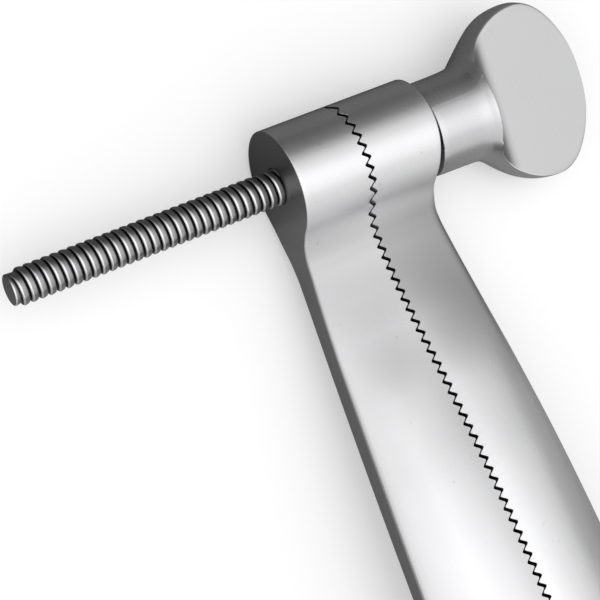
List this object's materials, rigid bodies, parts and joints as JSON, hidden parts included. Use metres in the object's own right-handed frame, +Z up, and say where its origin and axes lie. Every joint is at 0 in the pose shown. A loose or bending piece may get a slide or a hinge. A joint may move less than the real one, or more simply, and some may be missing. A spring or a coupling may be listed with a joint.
{
  "type": "ear cropping clamp",
  "caption": "Arched surgical clamp for cropping ears: toothed jaw bars drawn together by flat-headed thumb screws through round bosses at their ends.",
  "frame": {"origin": "bottom centre of the closed clamp's bounding box, on the surface that its round bosses stand on", "axes": "+X along the screws towards the thumb heads, +Y along the jaws, +Z up from the bosses' footing to the crown of the arch"},
  "size_m": [0.0868, 0.209, 0.0188],
  "materials": {
    "jaw_steel": "satin stainless steel, finely brushed",
    "head_steel": "satin stainless steel, turned neck and milled flats",
    "rod_steel": "satin stainless steel, rolled thread"
  },
  "bodies": {
    "plain_jaw": {"jaw_plain": "jaw_steel"},
    "tapped_jaw": {"jaw_tapped": "jaw_steel"},
    "thumb_screw_1": {"thumb_head_1": "head_steel", "threaded_rod_1": "rod_steel"},
    "thumb_screw_2": {"thumb_head_2": "head_steel", "threaded_rod_2": "rod_steel"}
  },
  "joints": [
    {"name": "jaw_opening", "type": "slide", "parent": "plain_jaw", "child": "tapped_jaw", "axis": [-1, 0, 0], "range_m": [0, 0.038]},
    {"name": "screw_1_turn", "type": "hinge", "parent": "plain_jaw", "child": "thumb_screw_1", "pos_m": [0.0058, 0.092, 0.0078], "axis": [1, 0, 0], "range_deg": [0, 10950]},
    {"name": "screw_2_turn", "type": "hinge", "parent": "plain_jaw", "child": "thumb_screw_2", "pos_m": [0.0058, -0.092, 0.0078], "axis": [1, 0, 0], "range_deg": [0, 10950]}
  ],
  "couplings": [
    {"joint": "screw_1_turn", "follows": "jaw_opening", "rad_per_m": 5026.5},
    {"joint": "screw_2_turn", "follows": "jaw_opening", "rad_per_m": 5026.5}
  ]
}
